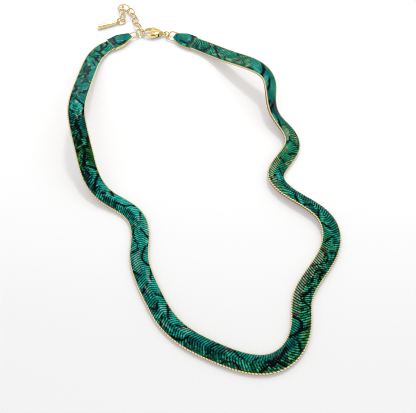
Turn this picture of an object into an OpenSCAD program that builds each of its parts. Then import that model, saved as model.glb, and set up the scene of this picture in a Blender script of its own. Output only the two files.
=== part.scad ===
// Flat snake-chain necklace, lying open on a table.
// X runs to the right, Y away from the viewer and Z up, in millimetres.
// The chain is one tube along its true route. Its ends sit in two enamelled caps,
// joined at the back by wire loops, a ring and a lobster clasp with an extension chain.

/* [Chain] */
// Width of the flat chain
chain_w = 7; // [6:0.1:7.4]
// Thickness of the flat chain at its crown
chain_t = 1.7; // [1.4:0.1:1.9]

/* [End caps] */
// Length of a cap from the chain to its tip
cap_len = 11; // [10:0.5:12]
// Width of a cap over the chain
cap_w = 7.3; // [7.2:0.1:7.6]
// Width of a cap at its tip
cap_tip_w = 2.6; // [2.5:0.1:2.9]
// Thickness of a cap's metal body
cap_t = 1.4; // [1.4:0.05:1.6]
// Thickness of the metal rim round the enamel
cap_rim = 0.3; // [0.25:0.05:0.4]

/* [Rings and links] */
// Diameter of the wire of the loops and links
wire_d = 0.52; // [0.48:0.02:0.52]
// Inside length of an extension link
link_pitch = 4.2; // [4.15:0.05:4.25]
// Width of an extension link over its wire
link_w = 3.4; // [3.3:0.1:3.5]
// Width of the ring that carries the bar tag
tag_ring_w = 4.5; // [4.4:0.1:4.6]

/* [Clasp] */
// Length of the clasp's body
clasp_len = 12.1; // [12.1:0.1:12.3]
// Thickness of the clasp's body at its crown
clasp_t = 3; // [2.8:0.1:3]
// Thickness of the sprung lever
lever_t = 1.2; // [1:0.1:1.3]

/* [Bar tag] */
// Length of the bar
bar_len = 9.4; // [9:0.1:9.8]
// Diameter of the bar at its free end
bar_d = 2.4; // [2.2:0.1:2.5]

/* [Hidden] */

gold = "goldenrod";
green = "seagreen";
gap = 0.08;
wire_r = wire_d / 2;

// Route of the chain from the left cap round to the right cap, a row for each control point:
// x, y and height of the middle of the underside, and the bank in degrees.
// A positive bank raises the edge on the inside of the loop.
route = [
  [-41, 65.2, 0.8, -5],
  [-45, 62, 0.6, -12],
  [-47.9, 54, 1.9, -18],
  [-48.3, 45, 4.3, -21],
  [-48.3, 36, 7, -21],
  [-48, 27, 10, -20],
  [-47.7, 18, 12.8, -17],
  [-47.6, 9, 14.8, -12],
  [-46.9, 0.5, 15.4, -9],
  [-44.7, -7.5, 13.2, -6],
  [-42.2, -15, 8.3, -3],
  [-40, -22.5, 4.2, -1],
  [-34.8, -29.2, 1, -1],
  [-27, -33, 0, 0],
  [-21, -38.5, 0, 0],
  [-19.2, -47.5, 0, 0],
  [-20.1, -56.5, 0, 0],
  [-17, -65.5, 0.02, 0],
  [-13, -74, 0.06, 1],
  [-8.7, -82.2, 0.17, 3],
  [-1.8, -88.4, 0.16, 3],
  [6.9, -92.8, 0.13, 2],
  [16.1, -96.8, 0.06, 1],
  [25.4, -97.1, 0, 0],
  [32.3, -91.1, 0, 0],
  [35.1, -82.1, 0, 0],
  [35, -72.6, 0, 0],
  [40.3, -64.3, 0, 0],
  [45.7, -56.9, 0.05, 0],
  [49.3, -48.1, 0.15, 3],
  [47.9, -38.7, 0.75, 13],
  [41.1, -32.3, 0.98, 18],
  [33.9, -27, 0.98, 17],
  [28.7, -18.6, 0.7, 12],
  [33.7, -10.6, 1.35, 25],
  [39.2, -2.1, 1.3, 24],
  [37.2, 7, 1.2, 18],
  [31.2, 13.6, 2.95, 32],
  [29.8, 22, 6.2, 56],
  [30.9, 30.3, 9.4, 22],
  [25.7, 37.4, 10.2, -15],
  [19.2, 44.4, 7.8, -18],
  [12.9, 51.7, 4.7, -21],
  [6, 60.7, 1.6, -20],
  [-2, 65.8, 1.4, -15]
];
last_row = len(route) - 1;
rings_per_row = 2;

// Section of the chain: flat underside, upright edges and a low crown.
// Across and up from the middle of the underside.
edge_in = 0.4;
edge_low = 0.35;
edge_high = 0.95;
crown_steps = 6;
section = concat(
  [[-chain_w / 2 + edge_in, 0], [chain_w / 2 - edge_in, 0], [chain_w / 2, edge_low]],
  [for (k = [0 : crown_steps])
    let (a = 180 * k / crown_steps)
    [chain_w / 2 * cos(a), edge_high + (chain_t - edge_high) * sin(a)]],
  [[-chain_w / 2, edge_low]]
);

// Clasp, in its own plan: x from the hook's end to the tail, y away from the viewer
clasp_at = [-27.4, 75.1, 1.55];
clasp_turn = -4;
hook_wire_r = 0.43;
hook_root_r = 0.85;
hook_long = 3.95;
hook_high = 2.55;
hook_mid = [hook_wire_r + hook_long, 0.3];
hook_root_turn = 62;
hook_end_turn = 180;
hook_tip_turn = 243;
body_x = 4.8;
body_y = 0.12;
body_half = 3.45;
body_tail_x = clasp_len - 1.7;
body_tail_half = 0.55;
body_bend = 2.6;
body_thin = 0.6;
tail_half = 0.9;
tail_t = 0.9;
tail_hole_r = 0.52;
tail_hole_x = clasp_len - tail_half;
pivot = [7.7, -1.3];
pin_r = 0.4;
pin_play = 0.06;
slot_play = 0.15;
slot_t = lever_t + 2 * slot_play;

// Ring that the clasp hooks into, leaning with its far side up
hook_ring_r = 2;
hook_ring_at = [-27.9, 74.7, 1.6];
hook_ring_turn = 14;
hook_ring_lean = 37.5;

// Small ring between the clasp's tail and the right loop
clasp_ring_r = 1.3;
clasp_ring_turn = -25;
clasp_ring_lean = 80;

// Extension links: middle, heading, lean about the link's own length and rise of its far end
ext_links = [
  [-28.5, 77.8, 2, 106, 74, -16],
  [-29.7, 81.7, 1.2, 112, 20, -6],
  [-31.1, 85.5, 1.05, 108, -32, 0],
  [-32.3, 89.45, 1.05, 103, 28, 0],
  [-33.9, 93.1, 1.2, 126, -24, 3],
  [-36.5, 95.8, 1.7, 143, -78, 0],
  [-39.1, 96.9, 1, -78, 20, 0],
  [-38.3, 92.9, 1.1, -78, -32, 0],
  [-37.5, 88.9, 1.15, -82, 34, 0]
];
tag_ring_at = [-38.1, 85.55, 0.85];
tag_ring_axis = 55;
tag_ring_lean = 15;
tag_wire_r = 0.33;

// Bar tag: a round bar that thickens towards its free end, with an eye of wire soldered to it
bar_small_d = 1.6;
bar_heading = -155;
bar_start = [-39.5, 84.25];
eye_r = 0.74;
eye_wire_r = 0.25;
bar_edge = 0.25;
bar_lift = 0.02;

// Loops through the cap tips, square at the tip and round at the far end
left_loop = [4.8, 3.4];
right_loop = [4.4, 5];
loop_near_r = 0.45;
loop_far_r = 1.2;
tip_hole_x = cap_len - 0.8;
tip_hole_z = 0.47;
tip_hole_r = wire_r + 0.06;
left_loop_drop = 5;
right_loop_drop = 3;

// Cap outline
flare_len = 6;
flare_steps = 8;
flare_bend = 1.25;
enamel_depth = 0.45;
enamel_t = 0.8;
lug_w = 2.1;
lug_len = 1.45;
lug_t = 0.9;

// Cubic B-spline through the route's rows, carried straight on past both ends
function row_at(i) =
  i < 0 ? 2 * route[0] - route[1] :
  i > last_row ? 2 * route[last_row] - route[last_row - 1] :
  route[i];
function blend(a, b, c, d, t) =
  (pow(1 - t, 3) * a + (3 * pow(t, 3) - 6 * t * t + 4) * b
  + (-3 * pow(t, 3) + 3 * t * t + 3 * t + 1) * c + pow(t, 3) * d) / 6;
function slope(a, b, c, d, t) =
  (-pow(1 - t, 2) * a + (3 * t * t - 4 * t) * b + (-3 * t * t + 2 * t + 1) * c + t * t * d) / 2;
function seg(u) = min(floor(u), last_row - 1);
function on_route(u) =
  let (i = seg(u), t = u - i)
  blend(row_at(i - 1), row_at(i), row_at(i + 1), row_at(i + 2), t);
function route_slope(u) =
  let (i = seg(u), t = u - i)
  slope(row_at(i - 1), row_at(i), row_at(i + 1), row_at(i + 2), t);
function place(u) =
  let (p = on_route(u))
  [p.x, p.y, p.z];
function unit(v) = v / norm(v);
function heading(u) =
  let (d = route_slope(u))
  unit([d.x, d.y, d.z]);
function bank(u) = on_route(u)[3];
function across(u) =
  let (t = heading(u), s = unit(cross([0, 0, 1], t)))
  cos(bank(u)) * s + sin(bank(u)) * cross(t, s);
function section_at(u) =
  let (p = place(u), w = across(u), up = cross(heading(u), w))
  [for (q = section) p + q.x * w + q.y * up];

// Closed tube through a list of rings with the same number of points
module tube(rings) {
  sides = len(rings[0]);
  count = len(rings);
  points = [for (ring = rings) for (p = ring) p];
  walls = [for (i = [0 : count - 2]) for (k = [0 : sides - 1])
    let (a = i * sides + k, b = i * sides + (k + 1) % sides)
    each [[a, a + sides, b], [b, a + sides, b + sides]]];
  near_end = [for (k = [0 : sides - 1]) k];
  far_end = [for (k = [0 : sides - 1]) count * sides - 1 - k];
  polyhedron(points, concat([near_end], walls, [far_end]));
}

module snake_chain() {
  steps = last_row * rings_per_row;
  color(green)
    tube([for (j = [0 : steps]) section_at(j / rings_per_row)]);
}

// Puts its children where the chain ends, with x along the chain and y towards the loop's inside
module at_route(u) {
  t = heading(u);
  translate(place(u))
    rotate([bank(u), -asin(t.z), atan2(t.y, t.x)])
      children();
}

// Half width of a cap at x from the chain, less an inset
function cap_half(x) =
  let (f = max(0, x - (cap_len - flare_len)) / flare_len)
  cap_tip_w / 2 + (cap_w - cap_tip_w) / 2 * (1 - pow(f, flare_bend));
function cap_side(from, to, inset) =
  [for (k = [0 : flare_steps])
    let (x = max(from, cap_len - flare_len) + (to - max(from, cap_len - flare_len)) * k / flare_steps)
    [x, cap_half(x) - inset]];
module cap_outline(from, to, inset) {
  side = concat([[from, cap_w / 2 - inset]], cap_side(from, to, inset));
  count = len(side);
  polygon(concat(side, [for (k = [count - 1 : -1 : 0]) [side[k].x, -side[k].y]]));
}

// Cap with its mouth at x = gap and its tip at cap_len
module cap_body() {
  color(gold)
    difference() {
      linear_extrude(cap_t)
        cap_outline(gap, cap_len, 0);
      translate([0, 0, cap_t - enamel_depth])
        linear_extrude(cap_t)
          cap_outline(gap + cap_rim, cap_len - cap_rim, cap_rim);
      for (side = [-1, 1])
        translate([cap_len - lug_len, side > 0 ? lug_w / 2 : -lug_w / 2 - cap_w, -1])
          cube([cap_len, cap_w, lug_t + 1]);
      translate([tip_hole_x, 0, tip_hole_z])
        rotate([90, 0, 0])
          cylinder(h = 2 * cap_w, r = tip_hole_r, center = true, $fn = 32);
    }
}

module cap_enamel() {
  color(green)
    translate([0, 0, cap_t - enamel_depth + gap / 2])
      linear_extrude(enamel_t)
        cap_outline(gap + cap_rim + gap, cap_len - cap_rim - gap, cap_rim + gap);
}

module at_left_cap() {
  at_route(0)
    rotate([0, 0, 180])
      children();
}

module at_right_cap() {
  at_route(last_row)
    children();
}

// Ring of wire on a rounded rectangle of its centre line, in the XY plane
module wire_ring(long, wide, corner, r) {
  dx = long / 2 - corner;
  dy = wide / 2 - corner;
  for (q = [[dx, dy, 0], [-dx, dy, 90], [-dx, -dy, 180], [dx, -dy, 270]])
    translate([q.x, q.y, 0])
      rotate([0, 0, q[2]])
        rotate_extrude(angle = 90, $fn = 48)
          translate([corner, 0])
            circle(r = r, $fn = 24);
  for (side = [-1, 1]) {
    if (dx > 0)
      translate([0, side * wide / 2, 0])
        rotate([0, 90, 0])
          cylinder(h = 2 * dx, r = r, center = true, $fn = 24);
    if (dy > 0)
      translate([side * long / 2, 0, 0])
        rotate([90, 0, 0])
          cylinder(h = 2 * dy, r = r, center = true, $fn = 24);
  }
}

module round_ring(radius, r) {
  rotate_extrude($fn = 48)
    translate([radius, 0])
      circle(r = r, $fn = 24);
}

// Loop with its straight side along y through the origin, closed at x = long
module wire_loop(long, wide, r) {
  near = loop_near_r;
  far = loop_far_r;
  quarters = [
    [near, wide / 2 - near, 90, near], [near, near - wide / 2, 180, near],
    [long - far, wide / 2 - far, 0, far], [long - far, far - wide / 2, 270, far]
  ];
  for (q = quarters)
    translate([q.x, q.y, 0])
      rotate([0, 0, q[2]])
        rotate_extrude(angle = 90, $fn = 48)
          translate([q[3], 0])
            circle(r = r, $fn = 24);
  for (side = [-1, 1])
    translate([near, side * wide / 2, 0])
      rotate([0, 90, 0])
        cylinder(h = long - near - far, r = r, $fn = 24);
  rotate([90, 0, 0])
    cylinder(h = wide - 2 * near, r = r, center = true, $fn = 24);
  translate([long, 0, 0])
    rotate([90, 0, 0])
      cylinder(h = wide - 2 * far, r = r, center = true, $fn = 24);
}

module cap_loop(size, drop) {
  color(gold)
    translate([tip_hole_x, 0, tip_hole_z])
      rotate([0, drop, 0])
        wire_loop(size.x, size.y, wire_r);
}

module hook_ring() {
  color(gold)
    translate(hook_ring_at)
      rotate([hook_ring_lean, 0, hook_ring_turn])
        round_ring(hook_ring_r, wire_r);
}

module ext_link(k) {
  link = ext_links[k - 1];
  color(gold)
    translate([link[0], link[1], link[2]])
      rotate([0, 0, link[3]])
        rotate([0, -link[5], 0])
          rotate([link[4], 0, 0])
            wire_ring(link_pitch + wire_d, link_w - wire_d, (link_w - wire_d) / 2, wire_r);
}

module tag_ring() {
  color(gold)
    translate(tag_ring_at)
      rotate(tag_ring_lean, [cos(tag_ring_axis), sin(tag_ring_axis), 0])
        round_ring(tag_ring_w / 2 - tag_wire_r, tag_wire_r);
}

// Bar along x from its eye, thickening towards its free end
module bar_tag() {
  eye_out = eye_r + eye_wire_r;
  tilt = asin((bar_d / 2 - eye_out) / (bar_len + eye_r));
  color(gold)
    translate([bar_start.x, bar_start.y, eye_out + bar_lift])
      rotate([0, -tilt, bar_heading]) {
        rotate([90, 0, 0])
          round_ring(eye_r, eye_wire_r);
        translate([eye_r, 0, 0])
          rotate([0, 90, 0])
            rotate_extrude($fn = 48)
              polygon([
                [0, 0], [bar_small_d / 2 - bar_edge, 0], [bar_small_d / 2, bar_edge],
                [bar_d / 2, bar_len - bar_edge], [bar_d / 2 - bar_edge, bar_len], [0, bar_len]
              ]);
      }
}

module at_clasp() {
  translate(clasp_at)
    rotate([0, 0, clasp_turn])
      children();
}

// Hook: a band that leaves the top of the body thick, rounds the end and thins to the tip
function hook_ring_of_points(turn) =
  let (f = pow(max(0, (hook_end_turn - turn) / (hook_end_turn - hook_root_turn)), 1.5),
    wide = hook_wire_r + (hook_root_r - hook_wire_r) * f,
    high = hook_wire_r + (clasp_t / 2 - 0.3 - hook_wire_r) * f,
    out = unit([cos(turn) / hook_long, sin(turn) / hook_high]))
  [for (k = [0 : 27])
    let (a = 360 * k / 28, r = wide * cos(a))
    [hook_mid.x + hook_long * cos(turn) + r * out.x, hook_mid.y + hook_high * sin(turn) + r * out.y, -high * sin(a)]];

module hook() {
  steps = 26;
  tube([for (k = [0 : steps]) hook_ring_of_points(hook_root_turn + (hook_tip_turn - hook_root_turn) * k / steps)]);
}

// Body: a flattened drop with an open front, narrowing to the tail
module body_shell() {
  steps = 14;
  tube([for (k = [0 : steps])
    let (f = k / steps, fall = pow(f, body_bend),
      wide = body_half - (body_half - body_tail_half) * fall,
      high = clasp_t / 2 * (1 - body_thin * fall))
    [for (m = [0 : 43])
      let (a = 360 * m / 44)
      [body_x + (body_tail_x + 0.1 - body_x) * f, body_y * (1 - f) + wide * cos(a), high * sin(a)]]]);
}

// Hollow that the lever swings in
module slot_plan() {
  polygon([
    [body_x - 1, 0.9], [6.2, 0.5], [pivot.x + 0.9, pivot.y + 0.9],
    [pivot.x + 1.2, pivot.y - 0.2], [pivot.x + 0.9, -4], [body_x - 1, -4]
  ]);
}

module clasp_body() {
  color(gold)
    at_clasp() {
      hook();
      difference() {
        body_shell();
        translate([0, 0, -slot_t / 2])
          linear_extrude(slot_t)
            slot_plan();
      }
      translate([pivot.x, pivot.y, 0])
        cylinder(h = slot_t + 0.2, r = pin_r, center = true, $fn = 32);
      difference() {
        union() {
          translate([tail_hole_x, 0, 0])
            cylinder(h = tail_t, r = tail_half, center = true, $fn = 32);
          translate([body_tail_x - 0.6, -tail_half / 2, -tail_t / 2])
            cube([tail_hole_x - body_tail_x + 0.6, tail_half, tail_t]);
        }
        translate([tail_hole_x, 0, 0])
          cylinder(h = 2 * tail_t, r = tail_hole_r, center = true, $fn = 32);
      }
    }
}

// Lever with a round nose, a thumb rise and a hub on the pin
module lever_plan() {
  polygon([
    [2.9, -1.6], [4.2, -1.85], [5.6, -1.45],
    [pivot.x - 0.5, pivot.y + 0.6], [pivot.x, pivot.y + 0.75], [pivot.x + 0.6, pivot.y + 0.45],
    [pivot.x + 0.75, pivot.y], [pivot.x + 0.5, pivot.y - 0.55], [7.2, -2.65], [6.4, -3.05],
    [5.6, -3.15], [4.8, -3.02], [4, -2.78], [2.96, -2.4]
  ]);
}

module clasp_lever() {
  color(gold)
    at_clasp()
      difference() {
        translate([0, 0, -lever_t / 2])
          linear_extrude(lever_t)
            lever_plan();
        translate([pivot.x, pivot.y, 0])
          cylinder(h = 2 * lever_t, r = pin_r + pin_play, center = true, $fn = 32);
      }
}

module clasp_ring() {
  color(gold)
    at_clasp()
      translate([tail_hole_x, 0, 0])
        rotate([0, 0, clasp_ring_turn])
          translate([clasp_ring_r, 0, 0])
            rotate([clasp_ring_lean, 0, 0])
              round_ring(clasp_ring_r, wire_r);
}

snake_chain();
at_left_cap() cap_body();  // left_cap
at_left_cap() cap_enamel();  // left_cap_enamel
at_right_cap() cap_body();  // right_cap
at_right_cap() cap_enamel();  // right_cap_enamel
at_left_cap() cap_loop(left_loop, left_loop_drop);
at_right_cap() cap_loop(right_loop, right_loop_drop);
hook_ring();
clasp_ring();
clasp_body();
clasp_lever();
ext_link(1);  // ext_link_1
ext_link(2);  // ext_link_2
ext_link(3);  // ext_link_3
ext_link(4);  // ext_link_4
ext_link(5);  // ext_link_5
ext_link(6);  // ext_link_6
ext_link(7);  // ext_link_7
ext_link(8);  // ext_link_8
ext_link(9);  // ext_link_9
tag_ring();
bar_tag();
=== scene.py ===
import math

import bpy
import numpy as np
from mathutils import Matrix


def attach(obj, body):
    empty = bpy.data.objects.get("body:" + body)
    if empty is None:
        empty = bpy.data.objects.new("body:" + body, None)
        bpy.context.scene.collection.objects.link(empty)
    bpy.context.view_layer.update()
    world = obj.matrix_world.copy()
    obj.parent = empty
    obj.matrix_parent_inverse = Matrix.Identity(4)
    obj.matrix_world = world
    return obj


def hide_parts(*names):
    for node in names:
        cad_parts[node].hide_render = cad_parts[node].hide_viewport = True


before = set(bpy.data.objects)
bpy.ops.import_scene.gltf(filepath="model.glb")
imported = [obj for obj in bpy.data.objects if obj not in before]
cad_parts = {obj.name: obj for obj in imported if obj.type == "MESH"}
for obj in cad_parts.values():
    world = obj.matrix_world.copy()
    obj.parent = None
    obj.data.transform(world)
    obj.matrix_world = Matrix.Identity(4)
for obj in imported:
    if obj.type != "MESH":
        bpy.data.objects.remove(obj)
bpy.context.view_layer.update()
scene = bpy.context.scene
MM = 0.001

# Camera, with the photograph's frame taken as 416 by 413
FRAME_W = 416
FOCAL_PX = 640
SENSOR_W = 36
NEAREST_SEEN = 0.005
CAMERA_AT = (4.5, -186, 183)
CAMERA_DOWN = 50

camera_data = bpy.data.cameras.new("camera")
camera_data.sensor_fit = "HORIZONTAL"
camera_data.sensor_width = SENSOR_W
camera_data.lens = SENSOR_W * FOCAL_PX / FRAME_W
camera_data.clip_start = NEAREST_SEEN
camera = bpy.data.objects.new("camera", camera_data)
camera.location = [v * MM for v in CAMERA_AT]
camera.rotation_euler = (math.radians(90 - CAMERA_DOWN), 0, 0)
scene.collection.objects.link(camera)
scene.camera = camera
scene.view_settings.view_transform = "Standard"
scene.cycles.caustics_reflective = False
scene.cycles.filter_width = 1.0

# Route of the chain, in metres, as in the CAD source:
# x, y and height of the middle of the underside, and the bank in degrees
ROUTE = np.array([
    (-0.041, 0.0652, 0.0008, -5), (-0.045, 0.062, 0.0006, -12), (-0.0479, 0.054, 0.0019, -18),
    (-0.0483, 0.045, 0.0043, -21), (-0.0483, 0.036, 0.007, -21), (-0.048, 0.027, 0.01, -20),
    (-0.0477, 0.018, 0.0128, -17), (-0.0476, 0.009, 0.0148, -12), (-0.0469, 0.0005, 0.0154, -9),
    (-0.0447, -0.0075, 0.0132, -6), (-0.0422, -0.015, 0.0083, -3), (-0.04, -0.0225, 0.0042, -1),
    (-0.0348, -0.0292, 0.001, -1), (-0.027, -0.033, 0, 0), (-0.021, -0.0385, 0, 0),
    (-0.0192, -0.0475, 0, 0), (-0.0201, -0.0565, 0, 0), (-0.017, -0.0655, 0.00002, 0),
    (-0.013, -0.074, 0.00006, 1), (-0.0087, -0.0822, 0.00017, 3), (-0.0018, -0.0884, 0.00016, 3),
    (0.0069, -0.0928, 0.00013, 2), (0.0161, -0.0968, 0.00006, 1), (0.0254, -0.0971, 0, 0),
    (0.0323, -0.0911, 0, 0), (0.0351, -0.0821, 0, 0), (0.035, -0.0726, 0, 0),
    (0.0403, -0.0643, 0, 0), (0.0457, -0.0569, 0.00005, 0), (0.0493, -0.0481, 0.00015, 3),
    (0.0479, -0.0387, 0.00075, 13), (0.0411, -0.0323, 0.00098, 18), (0.0339, -0.027, 0.00098, 17),
    (0.0287, -0.0186, 0.0007, 12), (0.0337, -0.0106, 0.00135, 25), (0.0392, -0.0021, 0.0013, 24),
    (0.0372, 0.007, 0.0012, 18), (0.0312, 0.0136, 0.00295, 32), (0.0298, 0.022, 0.0062, 56),
    (0.0309, 0.0303, 0.0094, 22), (0.0257, 0.0374, 0.0102, -15), (0.0192, 0.0444, 0.0078, -18),
    (0.0129, 0.0517, 0.0047, -21), (0.006, 0.0607, 0.0016, -20), (-0.002, 0.0658, 0.0014, -15),
])
ROWS = np.vstack([2 * ROUTE[0] - ROUTE[1], ROUTE, 2 * ROUTE[-1] - ROUTE[-2]])
LAST = len(ROUTE) - 1
ROUTE_STEPS = 4401


def unit(v):
    return v / np.linalg.norm(v, axis=-1, keepdims=True)


def smooth(a, b, x):
    """Eased step from 0 at a to 1 at b."""
    t = np.clip((x - a) / (b - a), 0, 1)
    return t * t * (3 - 2 * t)


def on_route(u):
    """Place, heading, across and up of the chain at route parameters u."""
    u = np.asarray(u, float)
    i = np.minimum(np.floor(u).astype(int), LAST - 1)
    t = (u - i)[..., None]
    a, b, c, d = (ROWS[i + k] for k in range(4))
    p = (
        (1 - t) ** 3 * a + (3 * t**3 - 6 * t**2 + 4) * b
        + (-3 * t**3 + 3 * t**2 + 3 * t + 1) * c + t**3 * d
    ) / 6
    q = (-((1 - t) ** 2) * a + (3 * t**2 - 4 * t) * b + (-3 * t**2 + 2 * t + 1) * c + t**2 * d) / 2
    heading = unit(q[..., :3])
    side = unit(np.cross([0, 0, 1], heading))
    bank = np.radians(p[..., 3:])
    across = np.cos(bank) * side + np.sin(bank) * np.cross(heading, side)
    return p[..., :3], heading, across, np.cross(heading, across)


# Length along the chain in mm at evenly spaced route parameters
U_TABLE = np.linspace(0, LAST, ROUTE_STEPS)
U_STEPS = np.linalg.norm(np.diff(on_route(U_TABLE)[0], axis=0), axis=1)
S_TABLE = np.r_[0, np.cumsum(U_STEPS)] / MM
CHAIN_LEN = S_TABLE[-1]


def band_point(s, v, h):
    """Metres for a point s along the chain, v across it and h above its underside, all in mm."""
    p, _, across, up = on_route(np.interp(s, S_TABLE, U_TABLE))
    return p + (v * MM)[..., None] * across + (h * MM)[..., None] * up


# The printed snakeskin, drawn in mm along and across the chain (inside edge positive)
# Dark bands: half width, then the points that each passes through
BANDS = [
    (0.5, (1, -3), (1.6, -0.5), (3.6, 0.1), (6, 0.2), (9, 0.3)),
    (0.4, (3.6, -3), (4.8, -1.2), (5.8, 0)), (0.55, (9.8, 3), (9.6, 1.6), (9.2, 0), (9.5, -2.2)),
    (0.3, (10.8, 2.4), (11.4, 1), (13, 0.4)),
    (0.7, (13.4, 1.4), (15.5, 0.6), (16.8, 1.6), (17.5, 3)), (0.3, (12.4, -3), (15, -2.4)),
    (0.3, (14.4, 0.4), (15, -1.4)), (0.45, (19.6, 0.4), (21, 1), (22.2, 2.2)),
    (0.4, (19.4, -2.6), (22.6, -2.4)), (0.3, (24.8, 0.2), (27, 0), (28.6, -0.4)),
    (0.45, (28.5, 0.9), (31, 0.4), (34, 0.6), (37, -0.3), (39, 0.2), (41, 1), (42.3, 2.4)),
    (0.45, (42.8, 2.4), (43.2, 0.2), (46, -0.4)),
    (0.35, (25, -1), (28, -1.8), (32, -1.4), (35.5, -0.8), (38, -2), (40, -2.7)),
    (0.3, (30, -0.4), (34.5, 0)), (0.5, (49.5, -2.6), (52.3, -1.3), (54.6, -2.4)),
    (0.65, (50.2, 3), (52, 2), (53.8, 1.5), (54.6, 0.4)), (0.3, (56.4, -0.6), (59, -1), (60.5, 0)),
    (0.4, (57, -2.6), (60.5, -3)), (0.55, (60.5, 0), (61.8, 1.4), (62.8, 2.6), (65, 3.1)),
    (0.35, (66, -2.5), (67.8, -0.8)), (0.5, (65, 3.2), (68.3, 2.6), (70.5, 1.1), (72, -0.6)),
    (0.6, (73, -1), (76, 0.2), (79, 0)), (0.5, (79, 2.6), (82, 1.6), (84, 0.2)),
    (0.5, (84.5, 0.4), (87, -0.6), (90, -0.8)), (0.5, (90.5, 0.8), (92.5, 2.8)),
    (0.45, (94.5, 3.2), (96.5, 1.4), (98.5, -0.6), (100, -1.2)),
    (0.35, (102.6, -0.8), (103.6, 0.4)), (0.35, (104.6, 3), (106.8, 1.5)),
    (0.35, (110, -0.5), (113.5, 0.2), (114.6, 1.7), (116, 2.9)),
    (0.3, (119, 2.2), (121.3, 1.6), (123, 0.8)),
    (0.25, (123, -1.8), (126, -2.5), (129, -2.2), (131.3, -1.8), (133, -0.7), (135.5, -0.5)),
    (0.35, (126, 0.3), (129, 2), (130.5, 3.2)),
    (0.35, (132.5, 3.2), (134.6, 1.9), (137, 1.2), (140, 1), (141.8, 2), (143.5, 3.2)),
    (0.2, (144, 3), (147, 2.2), (149, 1.8)), (0.3, (135.6, -0.5), (136.8, -2.9)),
    (0.35, (146, -1.2), (144, -3)), (0.3, (155, 1), (157, 2.8)),
    (0.35, (160.8, 2.9), (163.3, 1.8), (166, 0.6)), (0.25, (169, 0.7), (170.8, 1.8), (172, 2.7)),
    (0.4, (150, 0.3), (152.7, -2.7)), (0.35, (158.3, 0.3), (161, -1.5)),
    (0.35, (160.5, -1.2), (159, -2.8)), (0.35, (163.3, -0.3), (166, -2.7)),
    (0.4, (171, -2.8), (174.3, -1.6), (175, 0.4)), (0.3, (183, 1), (185, 2.7)),
    (0.3, (190.4, 2.5), (192.5, 1.3), (194.3, 0.6)), (0.3, (197, 0.6), (199, 2)),
    (0.6, (201.5, 0.2), (205, 0.5), (210, 1.5)),
    (0.3, (188, -2.9), (189, -1.6), (192.5, -1.2), (194, -2.9)),
    (0.4, (199.4, -2.9), (200.6, -1.4), (204.8, -0.6), (206, -3)),
    (0.4, (212, -2.6), (214, -1), (214.8, 0)),
    (0.5, (215, 2.7), (217, 0.8), (219, 0), (221.3, 0), (222.3, 1), (223.5, 2.6)),
    (0.3, (219, -0.8), (220.5, -2.7)), (0.35, (227, -3), (229, -1.6)),
    (0.4, (231, 0.4), (233, -1), (236, -1.6)), (0.4, (240, -2.6), (242.5, -1.6), (244, -2.4)),
    (0.4, (244, 2.2), (246.3, 0.3)), (0.35, (250.5, 0.4), (252, 2.2)),
    (0.35, (256, 2.2), (258, 1), (259.5, 0)), (0.4, (263, 0.4), (264.6, 2), (266, 3)),
    (0.45, (268, 3.4), (270, 2), (272, 0.4)), (0.5, (274.8, 0.3), (276.7, 1.6), (277.3, 3.5)),
    (0.4, (279, 3.3), (280.8, 2), (282.5, 0.6)), (0.4, (283, -1), (289, -0.6)),
    (0.4, (293.5, 2.3), (295.5, 0.4)), (0.35, (296.5, -2.5), (298, -1.4), (299.3, -0.2)),
    (0.25, (303.3, -0.8), (304, 1.6)), (0.25, (307.7, 0), (309.4, -1.2), (310.5, -2.4)),
    (0.35, (313, 2.7), (315, 1.7), (317.5, 1.3)), (0.3, (315, 1.5), (314.4, -0.4), (313.3, -2)),
    (0.45, (323.8, 3.2), (325.8, 2.4), (328.5, 1.2)),
    (0.7, (331.7, 3.4), (334.2, 2.1), (336.3, 0.2), (338.5, -1.6)),
    (0.5, (335.8, 2.8), (337.8, 1.8)), (0.5, (342.9, 2.4), (344.6, 1.3), (347, 0.8), (349, 0)),
    (0.6, (350, 3.4), (351.5, 2), (353, 0), (354.6, -1.5), (357, -2.7)),
    (0.5, (357, 2.7), (360, 2.4)), (0.4, (367.5, 0.8), (369.3, 2.5)),
    (0.35, (370, -1.5), (371.5, -2.6)), (0.4, (374.6, 2.6), (376.5, 1)),
    (0.5, (378.3, 2.7), (381, 1.8), (383, 0.3), (385, -0.5), (387, -2)),
    (0.45, (388.8, -1), (389.6, 0.7), (391, 2), (392.5, 2.8)), (0.35, (395, 2.7), (396, 1)),
]

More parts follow.
